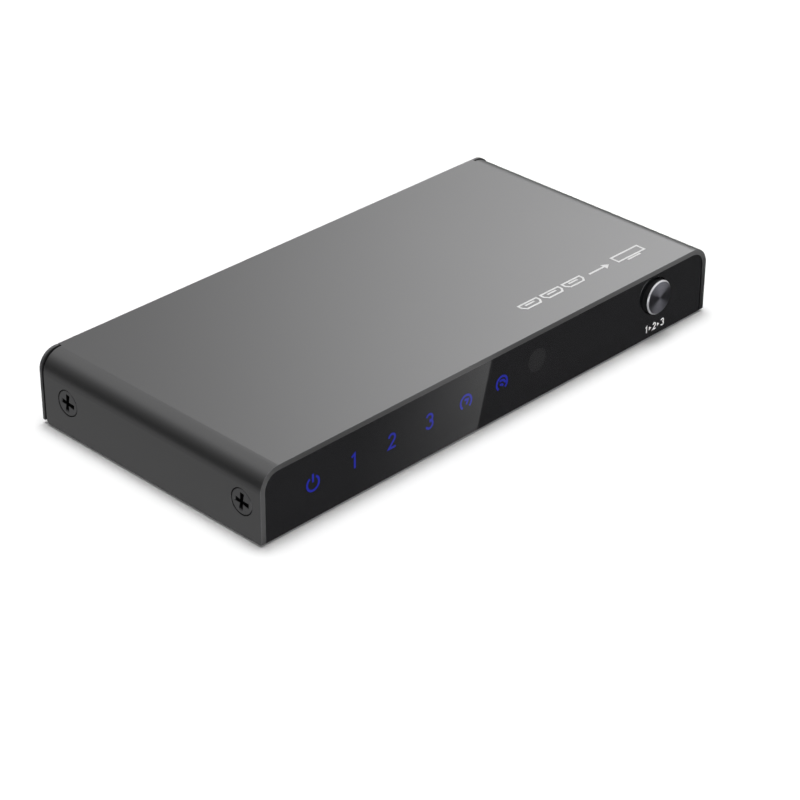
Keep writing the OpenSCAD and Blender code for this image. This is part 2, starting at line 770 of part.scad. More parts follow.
top_cover();
base_tray();
front_panel();
panel_adhesive();
case_screws();
clinch_nuts();
light_shield();
for (i = [1:6]) light_pipe(i);
indicator_lamps();
ir_receiver();
button_cap();
button_plunger();
tact_stem();
tact_switch();
circuit_board();
board_standoffs();
board_screws();
for (s = SOCKETS) socket_shell(s[1]);
for (s = SOCKETS) socket_insert(s[1]);
for (s = SOCKETS) socket_contacts(s[1]);
power_shell();
power_tongue();
power_contacts();
switch_chip();
thermal_pad();
heat_sink();
controller_chip();
regulator_chip();
power_inductor();
capacitors();
crystal();
for (i = [1:4]) rubber_foot(i);
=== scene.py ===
# Video switch box, three inputs to one output: its finishes, its signs and prints, and the studio round it.
import json
import math

import bmesh
import bpy
from mathutils import Matrix, Vector

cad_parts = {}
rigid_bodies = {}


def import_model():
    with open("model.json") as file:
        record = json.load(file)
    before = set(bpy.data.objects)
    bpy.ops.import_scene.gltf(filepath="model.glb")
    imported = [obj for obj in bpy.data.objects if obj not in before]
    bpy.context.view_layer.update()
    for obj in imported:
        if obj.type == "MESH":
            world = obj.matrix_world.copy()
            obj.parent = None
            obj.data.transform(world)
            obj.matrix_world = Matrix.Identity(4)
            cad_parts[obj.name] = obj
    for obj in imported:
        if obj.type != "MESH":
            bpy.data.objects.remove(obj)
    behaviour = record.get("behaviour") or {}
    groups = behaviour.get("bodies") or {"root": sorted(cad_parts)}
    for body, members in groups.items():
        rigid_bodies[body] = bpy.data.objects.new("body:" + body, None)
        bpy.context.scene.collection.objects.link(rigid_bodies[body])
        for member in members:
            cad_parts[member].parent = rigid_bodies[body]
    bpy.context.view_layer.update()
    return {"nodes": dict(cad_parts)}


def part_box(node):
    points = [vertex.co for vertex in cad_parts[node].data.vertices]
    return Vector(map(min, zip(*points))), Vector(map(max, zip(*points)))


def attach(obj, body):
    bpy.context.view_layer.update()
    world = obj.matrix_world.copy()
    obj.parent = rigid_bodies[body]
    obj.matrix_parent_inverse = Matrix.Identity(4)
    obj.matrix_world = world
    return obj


for start_object in list(bpy.data.objects):
    bpy.data.objects.remove(start_object)

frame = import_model()
nodes = frame["nodes"]

MM = 0.001

# The cover's outside: half its width, its two ends, and the radius of its long edges
COVER_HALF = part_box("top_cover")[1].x
COVER_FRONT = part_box("top_cover")[0].y
COVER_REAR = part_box("top_cover")[1].y
COVER_EDGE = 5 * MM
SCREW_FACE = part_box("case_screws")[1].x

# Faces that carry signs and prints, and the tray's underside
PANEL_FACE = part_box("front_panel")[0].y
COVER_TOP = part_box("top_cover")[1].z
REAR_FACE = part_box("base_tray")[1].y
TRAY_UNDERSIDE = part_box("base_tray")[0].z

# The button's cap and the depth of its chamfer
CAP_LOW, CAP_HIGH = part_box("button_cap")
CAP_MIDDLE = (CAP_LOW + CAP_HIGH) / 2
CAP_CHAMFER = 0.4 * MM


# Camera at the photograph's viewing angle

CAMERA_AZIMUTH = math.radians(-45.6988)
CAMERA_ELEVATION = math.radians(30.5996)
CAMERA_ROLL = math.radians(0.2856)
CAMERA_DISTANCE = 567.3372 * MM
CAMERA_AIM = Vector((-9.5235, -13.8386, 0.5)) * MM
CAMERA_LENS = 116.74


def place_camera():
    flat = math.cos(CAMERA_ELEVATION)
    back = Vector((
        math.sin(CAMERA_AZIMUTH) * flat,
        -math.cos(CAMERA_AZIMUTH) * flat,
        math.sin(CAMERA_ELEVATION),
    ))
    level = Vector((math.cos(CAMERA_AZIMUTH), math.sin(CAMERA_AZIMUTH), 0))
    upright = back.cross(level)
    right = level * math.cos(CAMERA_ROLL) + upright * math.sin(CAMERA_ROLL)
    up = upright * math.cos(CAMERA_ROLL) - level * math.sin(CAMERA_ROLL)
    spot = CAMERA_AIM + back * CAMERA_DISTANCE
    data = bpy.data.cameras.new("camera")
    data.sensor_width = 36
    data.lens = CAMERA_LENS
    data.clip_start = 0.01
    data.clip_end = 20
    camera = bpy.data.objects.new("camera", data)
    bpy.context.scene.collection.objects.link(camera)
    turn = Matrix((right, up, back)).transposed()
    camera.matrix_world = Matrix.Translation(spot) @ turn.to_4x4()
    bpy.context.scene.camera = camera


# Shader nodes

def feed(tree, socket, value):
    if isinstance(value, bpy.types.NodeSocket):
        tree.links.new(value, socket)
    else:
        socket.default_value = value


def put(tree, kind, settings=None, **sockets):
    node = tree.nodes.new(kind)
    for key, value in (settings or {}).items():
        setattr(node, key, value)
    for key, value in sockets.items():
        feed(tree, node.inputs[key.replace("_", " ")], value)
    return node


def reckon(tree, operation, *values):
    node = tree.nodes.new("ShaderNodeMath")
    node.operation = operation
    for socket, value in zip(node.inputs, values):
        feed(tree, socket, value)
    return node.outputs[0]


def ramp(tree, value, low, high, first=0.0, second=1.0, smooth=True):
    kind = "SMOOTHSTEP" if smooth else "LINEAR"
    node = put(tree, "ShaderNodeMapRange", {"interpolation_type": kind, "clamp": True}, Value=value)
    feed(tree, node.inputs["From Min"], low)
    feed(tree, node.inputs["From Max"], high)
    feed(tree, node.inputs["To Min"], first)
    feed(tree, node.inputs["To Max"], second)
    return node.outputs["Result"]


def mix_colour(tree, share, first, second, way="MIX"):
    node = put(tree, "ShaderNodeMix", {"data_type": "RGBA", "blend_type": way})
    feed(tree, node.inputs[0], share)
    feed(tree, node.inputs[6], first)
    feed(tree, node.inputs[7], second)
    return node.outputs[2]


def mix_value(tree, share, first, second):
    node = put(tree, "ShaderNodeMix", {"data_type": "FLOAT"})
    feed(tree, node.inputs[0], share)
    feed(tree, node.inputs[2], first)
    feed(tree, node.inputs[3], second)
    return node.outputs[0]


def local_point(tree):
    return put(tree, "ShaderNodeTexCoord").outputs["Object"]


def local_axes(tree):
    """A point's X, Y and Z in the frame of its own piece."""
    place = put(tree, "ShaderNodeSeparateXYZ")
    feed(tree, place.inputs[0], local_point(tree))
    return place.outputs


def opaque(colour):
    return (*colour, 1)


def new_group(name, inputs, outputs):
    group = bpy.data.node_groups.new(name, "ShaderNodeTree")
    for label, kind, value in inputs:
        socket = group.interface.new_socket(label, in_out="INPUT", socket_type=kind)
        socket.default_value = value
    for label, kind in outputs:
        group.interface.new_socket(label, in_out="OUTPUT", socket_type=kind)
    entry = group.nodes.new("NodeGroupInput")
    leave = group.nodes.new("NodeGroupOutput")
    return group, entry.outputs, leave.inputs


FLOAT = "NodeSocketFloat"
COLOUR = "NodeSocketColor"


def make_surface_grain():
    """Fine grain and broad mottling: a colour, a roughness and a height that vary over the surface."""
    group, given, gives = new_group("surface_grain", [
        ("Colour", COLOUR, (0.5, 0.5, 0.5, 1)),
        ("Grain Scale", FLOAT, 4000.0),
        ("Grain Tone", FLOAT, 0.1),
        ("Mottle Scale", FLOAT, 60.0),
        ("Mottle Tone", FLOAT, 0.05),
        ("Roughness", FLOAT, 0.4),
        ("Roughness Spread", FLOAT, 0.1),
    ], [("Colour", COLOUR), ("Roughness", FLOAT), ("Height", FLOAT)])
    point = local_point(group)
    grain = put(group, "ShaderNodeTexNoise", Vector=point, Scale=given["Grain Scale"], Detail=2.0)
    mottle = put(group, "ShaderNodeTexNoise", Vector=point, Scale=given["Mottle Scale"], Detail=3.0)
    fine = reckon(group, "SUBTRACT", grain.outputs[0], 0.5)
    grain_part = reckon(group, "MULTIPLY", fine, given["Grain Tone"])
    broad = reckon(group, "SUBTRACT", mottle.outputs[0], 0.5)
    tone = reckon(group, "ADD", grain_part, reckon(group, "MULTIPLY", broad, given["Mottle Tone"]))
    tone = reckon(group, "ADD", reckon(group, "MULTIPLY", tone, 2.0), 1.0)
    shade = put(group, "ShaderNodeCombineColor", Red=tone, Green=tone, Blue=tone)
    feed(group, gives["Colour"], mix_colour(group, 1.0, given["Colour"], shade.outputs[0], "MULTIPLY"))
    spread = reckon(group, "MULTIPLY", reckon(group, "MULTIPLY", broad, 2.0), given["Roughness Spread"])
    feed(group, gives["Roughness"], reckon(group, "ADD", given["Roughness"], spread))
    feed(group, gives["Height"], grain.outputs[0])
    return group


def make_edge_wear():
    """A mask that is 1 where an edge has been handled bright and 0 on open faces."""
    group, given, gives = new_group("edge_wear", [
        ("Reach", FLOAT, 0.0003), ("Patches", FLOAT, 0.4),
    ], [("Mask", FLOAT)])
    eased = put(group, "ShaderNodeBevel", {"samples": 6}, Radius=given["Reach"])
    plain = put(group, "ShaderNodeNewGeometry")
    turn = put(group, "ShaderNodeVectorMath", {"operation": "DOT_PRODUCT"})
    feed(group, turn.inputs[0], eased.outputs[0])
    feed(group, turn.inputs[1], plain.outputs["Normal"])
    edge = ramp(group, turn.outputs["Value"], 0.995, 0.85)
    patch = put(group, "ShaderNodeTexNoise", Vector=local_point(group), Scale=900.0, Detail=3.0)
    kept = ramp(group, patch.outputs[0], reckon(group, "SUBTRACT", given["Patches"], 0.1),
                reckon(group, "ADD", given["Patches"], 0.2))
    feed(group, gives["Mask"], reckon(group, "MULTIPLY", edge, kept))
    return group


def make_dust_specks():
    """A mask of fine specks that lie on faces looking up."""
    group, given, gives = new_group("dust_specks", [
        ("Scale", FLOAT, 900.0), ("Amount", FLOAT, 0.3),
    ], [("Mask", FLOAT)])
    point = local_point(group)
    cell = put(group, "ShaderNodeTexVoronoi", Vector=point, Scale=given["Scale"])
    speck = ramp(group, cell.outputs["Distance"], 0.16, 0.05)
    patch = put(group, "ShaderNodeTexNoise", Vector=point, Scale=130.0, Detail=2.0)
    some = ramp(group, patch.outputs[0], 0.52, 0.66)
    facing = put(group, "ShaderNodeSeparateXYZ")
    feed(group, facing.inputs[0], put(group, "ShaderNodeNewGeometry").outputs["Normal"])
    up = ramp(group, facing.outputs["Z"], 0.2, 0.9)
    mask = reckon(group, "MULTIPLY", reckon(group, "MULTIPLY", speck, some), up)
    feed(group, gives["Mask"], reckon(group, "MULTIPLY", mask, given["Amount"]))
    return group


SURFACE_GRAIN = make_surface_grain()
EDGE_WEAR = make_edge_wear()
DUST_SPECKS = make_dust_specks()


def place_group(tree, group, **sockets):
    node = tree.nodes.new("ShaderNodeGroup")
    node.node_tree = group
    for key, value in sockets.items():
        feed(tree, node.inputs[key.replace("_", " ")], value)
    return node.outputs


def new_finish(name):
    finish = bpy.data.materials.new(name)
    finish.use_nodes = True
    tree = finish.node_tree
    tree.nodes.clear()
    shader = tree.nodes.new("ShaderNodeBsdfPrincipled")
    out = tree.nodes.new("ShaderNodeOutputMaterial")
    tree.links.new(shader.outputs[0], out.inputs[0])
    return finish, tree, shader


def raise_grain(tree, shader, height, strength, depth):
    bump = put(tree, "ShaderNodeBump", Height=height, Strength=strength, Distance=depth)
    feed(tree, shader.inputs["Normal"], bump.outputs[0])


def grained_finish(name, colour, roughness, metallic=0.0, grain=4000.0, tone=0.08, mottle=60.0,
                   mottle_tone=0.05, spread=0.06, strength=0.15, depth=0.00004, worn=None, dusty=0.0):
    """A finish with grain, mottling and, where asked, edges handled bright and dust on top."""
    finish, tree, shader = new_finish(name)
    surface = place_group(
        tree, SURFACE_GRAIN, Colour=opaque(colour), Grain_Scale=grain, Grain_Tone=tone, Mottle_Scale=mottle,
        Mottle_Tone=mottle_tone, Roughness=roughness, Roughness_Spread=spread)
    shown = surface["Colour"]
    if worn:
        wear = place_group(tree, EDGE_WEAR, Reach=worn["reach"], Patches=worn["patches"])
        shown = mix_colour(tree, wear["Mask"], shown, opaque(worn["colour"]))
    if dusty:
        dust = place_group(tree, DUST_SPECKS, Amount=dusty)
        shown = mix_colour(tree, dust["Mask"], shown, opaque((0.45, 0.44, 0.42)))
    feed(tree, shader.inputs["Base Color"], shown)
    feed(tree, shader.inputs["Roughness"], surface["Roughness"])
    shader.inputs["Metallic"].default_value = metallic
    raise_grain(tree, shader, surface["Height"], strength, depth)
    return finish, tree, shader


# Finishes

def plain_finish(name, colour, roughness, **grain):
    """A grained finish with nothing added."""
    return grained_finish(name, colour, roughness, **grain)[0]


def paint_shade_where(tree, shader, mask, colour, roughness):
    """Paints shade: turns a finish to a dull dark colour where the mask is 1."""
    shown = shader.inputs["Base Color"].links[0].from_socket
    feed(tree, shader.inputs["Base Color"], mix_colour(tree, mask, shown, opaque(colour)))
    rough = shader.inputs["Roughness"].links[0].from_socket
    feed(tree, shader.inputs["Roughness"], mix_value(tree, mask, rough, roughness))


def depth_in_cover(tree):
    """How far a point lies inside the cover's outer skin, and its distance from the nearer end."""
    place = local_axes(tree)
    across = reckon(tree, "SUBTRACT", reckon(tree, "ABSOLUTE", place["X"]), COVER_HALF - COVER_EDGE)
    up = reckon(tree, "SUBTRACT", place["Z"], COVER_TOP - COVER_EDGE)
    corner = put(tree, "ShaderNodeCombineXYZ")
    feed(tree, corner.inputs[0], reckon(tree, "MAXIMUM", across, 0.0))
    feed(tree, corner.inputs[1], reckon(tree, "MAXIMUM", up, 0.0))
    reach = put(tree, "ShaderNodeVectorMath", {"operation": "LENGTH"})
    feed(tree, reach.inputs[0], corner.outputs[0])
    flat = reckon(tree, "MINIMUM", reckon(tree, "MAXIMUM", across, up), 0.0)
    depth = reckon(tree, "SUBTRACT", COVER_EDGE, reckon(tree, "ADD", reach.outputs["Value"], flat))
    from_front = reckon(tree, "SUBTRACT", place["Y"], COVER_FRONT)
    from_rear = reckon(tree, "SUBTRACT", COVER_REAR, place["Y"])
    return depth, reckon(tree, "MINIMUM", from_front, from_rear)


# Where an outer finish gives way to painted shade, a dark dull inside: depths below the cover's skin and
# from its ends, below the tray's rear face and over its underside, and below a screw head's face
SKIN_DEPTH = (0.06 * MM, 0.16 * MM)
END_DEPTH = (0.6 * MM, 0.9 * MM)
REAR_DEPTH = (0.60 * MM, 0.74 * MM)
FLOOR_HEIGHT = (0.3 * MM, 0.6 * MM)
HEAD_DEPTH = (0.10 * MM, 0.30 * MM)


def anodised_cover():
    """Satin graphite outside; painted shade, dull and dark, in the countersinks and on the inside."""
    finish, tree, shader = grained_finish(
        "satin_anodised_aluminium", (0.105, 0.105, 0.106), 0.33, metallic=1.0, grain=5200.0, tone=0.05,
        mottle=24.0, mottle_tone=0.02, spread=0.02, strength=0.06, depth=0.00003,
        worn={"reach": 0.00018, "patches": 0.3, "colour": (0.17, 0.17, 0.18)})
    depth, from_end = depth_in_cover(tree)
    inside = ramp(tree, depth, *SKIN_DEPTH)
    # Painted shade: the countersinks and the inside below the skin are painted near black and dull, standing
    # in for the shade there.
    shade_mask = reckon(tree, "MULTIPLY", inside, ramp(tree, from_end, *END_DEPTH))
    paint_shade_where(tree, shader, shade_mask, (0.012, 0.012, 0.012), 0.7)
    return finish


def coated_tray():
    """Satin powder coat, with painted shade making the inside dull and darker."""
    finish, tree, shader = grained_finish(
        "satin_powder_coat", (0.052, 0.052, 0.054), 0.42, grain=1800.0, tone=0.1, mottle_tone=0.05,
        strength=0.25, depth=0.00005, worn={"reach": 0.0002, "patches": 0.5, "colour": (0.11, 0.11, 0.115)})
    place = local_axes(tree)
    inner = ramp(tree, reckon(tree, "SUBTRACT", REAR_FACE, place["Y"]), *REAR_DEPTH)
    over = ramp(tree, reckon(tree, "SUBTRACT", place["Z"], TRAY_UNDERSIDE), *FLOOR_HEIGHT)
    # Painted shade: inside the rear wall and above the underside the coat is painted near black, standing in
    # for the shade inside the tray.
    shade_mask = reckon(tree, "MULTIPLY", inner, over)
    paint_shade_where(tree, shader, shade_mask, (0.014, 0.014, 0.014), 0.75)
    return finish


def case_screw_steel():
    """Dark grey plate on the head's face; painted shade, black, in the cross and under the head."""
    finish, tree, shader = grained_finish(
        "dark_grey_plated_steel", (0.105, 0.105, 0.107), 0.36, metallic=1.0, grain=5000.0, tone=0.15,
        worn={"reach": 0.00010, "patches": 0.5, "colour": (0.15, 0.15, 0.15)})
    place = local_axes(tree)
    depth = reckon(tree, "SUBTRACT", SCREW_FACE, reckon(tree, "ABSOLUTE", place["X"]))
    # Painted shade: below the head's face the screw is painted black, standing in for the shade in the cross
    # recess.
    recess_shade = ramp(tree, depth, *HEAD_DEPTH)
    paint_shade_where(tree, shader, recess_shade, (0.008, 0.008, 0.008), 0.75)
    return finish


def black_gloss_plate():
    return plain_finish(
        "polished_black_acrylic", (0.006, 0.006, 0.007), 0.05, grain=300.0, tone=0.1, mottle=40.0,
        mottle_tone=0.1, spread=0.02, strength=0.01, depth=0.00002, dusty=0.02)


SPIN_PITCH = 0.11 * MM
SPUN_TONES = (0.085, 0.130)
SPUN_ROUGHNESS = (0.29, 0.37)
# The share of the chamfer's depth over which the spun face gives way to the polished ring
RING_START = (0.22, 0.32)
RING_COLOUR = (0.60, 0.60, 0.62)
CAP_SIDE_COLOUR = (0.010, 0.010, 0.011)


def spun_button():
    """A lathe-spun face inside a polished chamfer, on a black anodised side."""
    finish, tree, shader = new_finish("spun_aluminium_cap")
    place = local_axes(tree)
    across = reckon(tree, "SUBTRACT", place["X"], CAP_MIDDLE.x)
    along = reckon(tree, "SUBTRACT", place["Z"], CAP_MIDDLE.z)
    squares = reckon(tree, "MULTIPLY_ADD", across, across, reckon(tree, "MULTIPLY", along, along))
    radius = reckon(tree, "SQRT", squares)
    depth = reckon(tree, "SUBTRACT", place["Y"], CAP_LOW.y)
    chamfer = ramp(tree, depth, *(CAP_CHAMFER * share for share in RING_START))
    side = ramp(tree, depth, CAP_CHAMFER - 0.00002, CAP_CHAMFER + 0.00001)
    wander = put(tree, "ShaderNodeTexNoise", {"noise_dimensions": "1D"}, W=radius, Scale=9000.0, Detail=2.0)
    ring = reckon(tree, "SINE", reckon(tree, "MULTIPLY", radius, 2 * math.pi / SPIN_PITCH))
    groove = reckon(tree, "ADD", reckon(tree, "MULTIPLY", ring, 0.25), wander.outputs[0])
    face_tone = ramp(tree, wander.outputs[0], 0.3, 0.7, *SPUN_TONES)
    face = put(tree, "ShaderNodeCombineColor", Red=face_tone, Green=face_tone,
               Blue=reckon(tree, "MULTIPLY", face_tone, 1.14))
    shown = mix_colour(tree, chamfer, face.outputs[0], opaque(RING_COLOUR))
    feed(tree, shader.inputs["Base Color"], mix_colour(tree, side, shown, opaque(CAP_SIDE_COLOUR)))
    metal = mix_value(tree, chamfer, 1.0, 0.45)
    feed(tree, shader.inputs["Metallic"], mix_value(tree, side, metal, 0.0))
    shader.inputs["Specular IOR Level"].default_value = 0.2
    spun = ramp(tree, wander.outputs[0], 0.3, 0.7, *SPUN_ROUGHNESS)
    polish = mix_value(tree, chamfer, spun, 0.16)
    feed(tree, shader.inputs["Roughness"], mix_value(tree, side, polish, 0.45))
    shader.inputs["Anisotropic"].default_value = 1.0
    shader.inputs["Anisotropic Rotation"].default_value = 0.33
    tangent = put(tree, "ShaderNodeTangent", {"direction_type": "RADIAL", "axis": "Y"})
    feed(tree, shader.inputs["Tangent"], tangent.outputs[0])
    flat_groove = reckon(tree, "MULTIPLY", groove, reckon(tree, "SUBTRACT", 1.0, chamfer))
    raise_grain(tree, shader, flat_groove, 0.2, 0.000004)
    return finish


def lit_sign():
    finish, tree, shader = new_finish("blue_lit_window")
    surface = place_group(
        tree, SURFACE_GRAIN, Colour=opaque((0.004, 0.008, 0.27)), Grain_Scale=2500.0, Grain_Tone=0.12,
        Mottle_Scale=400.0, Mottle_Tone=0.2, Roughness=0.2, Roughness_Spread=0.05)
    shader.inputs["Base Color"].default_value = (0.006, 0.006, 0.02, 1)
    feed(tree, shader.inputs["Roughness"], surface["Roughness"])
    feed(tree, shader.inputs["Emission Color"], surface["Colour"])
    shader.inputs["Emission Strength"].default_value = 1.0
    return finish


def solder_mask():
    """Green mask over copper: traces show as paler lines, with bright plated dots."""
    finish, tree, shader = new_finish("green_solder_mask")
    point = local_point(tree)
    surface = place_group(
        tree, SURFACE_GRAIN, Colour=opaque((0.020, 0.110, 0.060)), Grain_Scale=2500.0, Grain_Tone=0.1,
        Mottle_Scale=80.0, Mottle_Tone=0.1, Roughness=0.38, Roughness_Spread=0.08)
    tracks = put(tree, "ShaderNodeTexBrick", {"offset": 0.35, "squash": 1.6}, Vector=point, Scale=220.0)
    tracks.inputs["Mortar Size"].default_value = 0.03
    track = ramp(tree, tracks.outputs["Fac"], 0.3, 0.7)
    cell = put(tree, "ShaderNodeTexVoronoi", Vector=point, Scale=260.0)
    plated = ramp(tree, cell.outputs["Distance"], 0.13, 0.10)
    shown = mix_colour(tree, track, surface["Colour"], opaque((0.045, 0.20, 0.10)))
    feed(tree, shader.inputs["Base Color"], mix_colour(tree, plated, shown, opaque((0.62, 0.60, 0.52))))
    feed(tree, shader.inputs["Metallic"], plated)
    feed(tree, shader.inputs["Roughness"], surface["Roughness"])
    raise_grain(tree, shader, track, 0.3, 0.00003)
    return finish


def clear_pipe():
    finish, tree, shader = new_finish("clear_acrylic_rod")
    surface = place_group(
        tree, SURFACE_GRAIN, Colour=opaque((0.92, 0.95, 0.98)), Grain_Scale=1500.0, Grain_Tone=0.02,
        Mottle_Scale=200.0, Mottle_Tone=0.02, Roughness=0.06, Roughness_Spread=0.04)
    feed(tree, shader.inputs["Base Color"], surface["Colour"])
    feed(tree, shader.inputs["Roughness"], surface["Roughness"])
    shader.inputs["Transmission Weight"].default_value = 1.0
    shader.inputs["IOR"].default_value = 1.49
    return finish


FINISHES = {
    "cover_aluminium": anodised_cover(),
    "black_acrylic": black_gloss_plate(),
    "cap_aluminium": spun_button(),
    "board_laminate": solder_mask(),
    "clear_acrylic": clear_pipe(),
    "sheet_steel": coated_tray(),
    "adhesive": plain_finish("black_foam_tape", (0.03, 0.03, 0.032), 0.85, grain=3000.0, tone=0.3),
    "screw_steel": case_screw_steel(),
    "zinc_steel": plain_finish(
        "bright_zinc_plate", (0.60, 0.60, 0.60), 0.28, metallic=1.0, grain=3500.0, mottle_tone=0.12),
    "black_plastic": plain_finish(
        "moulded_black_plastic", (0.020, 0.020, 0.022), 0.5, grain=2600.0, tone=0.2),
    "lamp_resin": plain_finish("white_lamp_resin", (0.75, 0.78, 0.82), 0.22, grain=3000.0, tone=0.03),
    "ir_resin": plain_finish("dark_receiver_resin", (0.030, 0.025, 0.035), 0.12, grain=2500.0, tone=0.1),
    "socket_steel": plain_finish(
        "nickel_plated_steel", (0.62, 0.62, 0.63), 0.25, metallic=1.0, grain=2600.0, tone=0.08, mottle=300.0,
        mottle_tone=0.08, spread=0.12, strength=0.1),
    "socket_plastic": plain_finish(
        "moulded_socket_plastic", (0.015, 0.015, 0.017), 0.45, grain=3000.0, tone=0.2),
    "contact_gold": plain_finish(
        "gold_flash", (0.80, 0.58, 0.22), 0.22, metallic=1.0, grain=4000.0, mottle=700.0, mottle_tone=0.1),
    "chip_resin": plain_finish("moulded_epoxy", (0.020, 0.020, 0.022), 0.6, grain=3500.0, tone=0.3),
    "pad_rubber": plain_finish("soft_grey_pad", (0.30, 0.33, 0.36), 0.8, grain=2500.0, tone=0.15),
    "sink_aluminium": plain_finish(
        "black_anodised_sink", (0.06, 0.06, 0.07), 0.4, metallic=0.9, grain=3500.0, tone=0.15),
    "ferrite": plain_finish("dull_ferrite", (0.09, 0.09, 0.095), 0.75, grain=2500.0, tone=0.3),
    "can_aluminium": plain_finish(
        "bare_aluminium_can", (0.70, 0.70, 0.71), 0.3, metallic=1.0, grain=3000.0, mottle_tone=0.08),
    "can_steel": plain_finish("bright_steel_can", (0.66, 0.66, 0.67), 0.25, metallic=1.0, grain=3000.0),
    "foot_rubber": plain_finish(
        "black_foot_rubber", (0.018, 0.018, 0.019), 0.75, grain=1800.0, tone=0.3, strength=0.3),
}
SIGN_BLUE = lit_sign()
PLATE_WHITE = plain_finish("white_plate_print", (0.82, 0.82, 0.82), 0.45, grain=5000.0, tone=0.1)
COVER_GREY = plain_finish("pale_cover_print", (0.56, 0.56, 0.56), 0.5, grain=5000.0, tone=0.08)
SMOKED_WINDOW = plain_finish(
    "smoked_receiver_window", (0.016, 0.016, 0.017), 0.09, grain=900.0, tone=0.1)


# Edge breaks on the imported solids, in millimetres

EDGE_BREAKS = {
    "top_cover": 0.12, "front_panel": 0.08, "base_tray": 0.08, "case_screws": 0.08, "button_cap": 0.05,
    "circuit_board": 0.05, "heat_sink": 0.10, "switch_chip": 0.10, "tact_switch": 0.15, "light_shield": 0.12,
    "capacitors": 0.15, "crystal": 0.10, "power_inductor": 0.20, "regulator_chip": 0.06,
    "controller_chip": 0.06,
}
for shell in ("input_1_shell", "input_2_shell", "input_3_shell", "output_shell", "power_shell"):
    EDGE_BREAKS[shell] = 0.08
for insert in ("input_1_insert", "input_2_insert", "input_3_insert", "output_insert", "power_tongue"):
    EDGE_BREAKS[insert] = 0.10


WELD_REACH = 0.002 * MM
SHARP_ANGLE = math.radians(38)


def break_edges(node, width):
    weld = node.modifiers.new("weld", "WELD")
    weld.merge_threshold = WELD_REACH
    bevel = node.modifiers.new("edge_break", "BEVEL")
    bevel.width = width * MM
    bevel.segments = 2
    bevel.limit_method = "ANGLE"
    bevel.angle_limit = SHARP_ANGLE
    bevel.use_clamp_overlap = True
    bevel.miter_outer = "MITER_ARC"
    even = node.modifiers.new("even_shading", "WEIGHTED_NORMAL")
    even.keep_sharp = True


def dress_solids():
    for name, node in nodes.items():
        slot = node.material_slots[0].material.name.split(".")[0]
        node.material_slots[0].material = FINISHES[slot]
        if name in EDGE_BREAKS:
            break_edges(node, EDGE_BREAKS[name])


# Signs and prints, drawn as strokes on a face, with places and sizes in millimetres

PRINT_LIFT = 0.02 * MM
PRINT_SINK = 0.02 * MM
PRINT_LAYER = 0.004 * MM


def front_face(across, up, lift):
    return Vector((across * MM, PANEL_FACE - lift, up * MM))


def top_face(across, up, lift):
    return Vector((across * MM, up * MM, COVER_TOP + lift))


def rear_face(across, up, lift):
    """Read from behind, so across runs towards -x."""
    return Vector((-across * MM, REAR_FACE + lift, up * MM))


def arc(middle, radius, start, end, steps=28):
    points = []
    for step in range(steps + 1):
        angle = math.radians(start + (end - start) * step / steps)
        points.append((middle[0] + radius * math.cos(angle), middle[1] + radius * math.sin(angle)))
    return points


def ribbon_sides(points, width, closed):
    """The left and right edges of a stroke of even width along the points."""
    left = []
    right = []
    last = len(points) - 1
    for i, point in enumerate(points):
        here = Vector(point)
        before = Vector(points[i - 1]) if i > 0 or closed else None
        after = Vector(points[(i + 1) % len(points)]) if i < last or closed else None
        into = (here - before).normalized() if before is not None else None
        away = (after - here).normalized() if after is not None else None
        into = into if into is not None else away
        away = away if away is not None else into
        mid = (into + away).normalized()
        normal = Vector((-mid.y, mid.x))
        reach = width / 2 / max(0.35, normal.dot(Vector((-into.y, into.x))))
        left.append(here + normal * reach)
        right.append(here - normal * reach)
    return left, right


def add_stroke(mesh, place, points, width, closed=False, layer=0):
    left, right = ribbon_sides(points, width, closed)
    levels = []
    for lift in (-PRINT_SINK, PRINT_LIFT + layer * PRINT_LAYER):
        levels.append([
            [mesh.verts.new(place(point.x, point.y, lift)) for point in left],
            [mesh.verts.new(place(point.x, point.y, lift)) for point in right],
        ])
    (low_left, low_right), (high_left, high_right) = levels
    count = len(points)
    for i in range(count if closed else count - 1):
        j = (i + 1) % count
        mesh.faces.new((high_left[i], high_left[j], high_right[j], high_right[i]))
        mesh.faces.new((low_left[i], low_right[i], low_right[j], low_left[j]))
        mesh.faces.new((high_left[i], low_left[i], low_left[j], high_left[j]))
        mesh.faces.new((high_right[i], high_right[j], low_right[j], low_right[i]))
    if not closed:
        mesh.faces.new((high_left[0], high_right[0], low_right[0], low_left[0]))
        mesh.faces.new((high_left[-1], low_left[-1], low_right[-1], high_right[-1]))


def add_patch(mesh, place, points):
    """A filled convex outline of the print's thickness."""
    low = [mesh.verts.new(place(across, up, -PRINT_SINK)) for across, up in points]
    high = [mesh.verts.new(place(across, up, PRINT_LIFT)) for across, up in points]
    mesh.faces.new(high)
    mesh.faces.new(low[::-1])
    for i in range(len(points)):
        j = (i + 1) % len(points)
        mesh.faces.new((high[i], low[i], low[j], high[j]))


def at(middle, size, points):
    return [(middle[0] + across * size, middle[1] + up * size) for across, up in points]


def add_sign(mesh, place, strokes, middle, size, width):
    """Strokes that may cross, each a hair above the one before."""
    for layer, points in enumerate(strokes):
        add_stroke(mesh, place, at(middle, size, points), width, layer=layer)


def add_bar(mesh, place, middle, length, width):
    half = length / 2
    add_stroke(mesh, place, [(middle[0] - half, middle[1]), (middle[0] + half, middle[1])], width)


def box_outline(left, right, low, high):
    return [(left, high), (right, high), (right, low), (left, low)]


DIGITS = {
    1: [[(-0.08, 0.30), (0.16, 0.47), (0.16, -0.5)]],
    2: [arc((0.04, 0.22), 0.25, 172, -38, 20) + [(-0.22, -0.44), (0.34, -0.44)]],
    3: [arc((0.02, 0.22), 0.25, 160, -90, 20), arc((0.02, -0.21), 0.27, 90, -160, 20)],
}


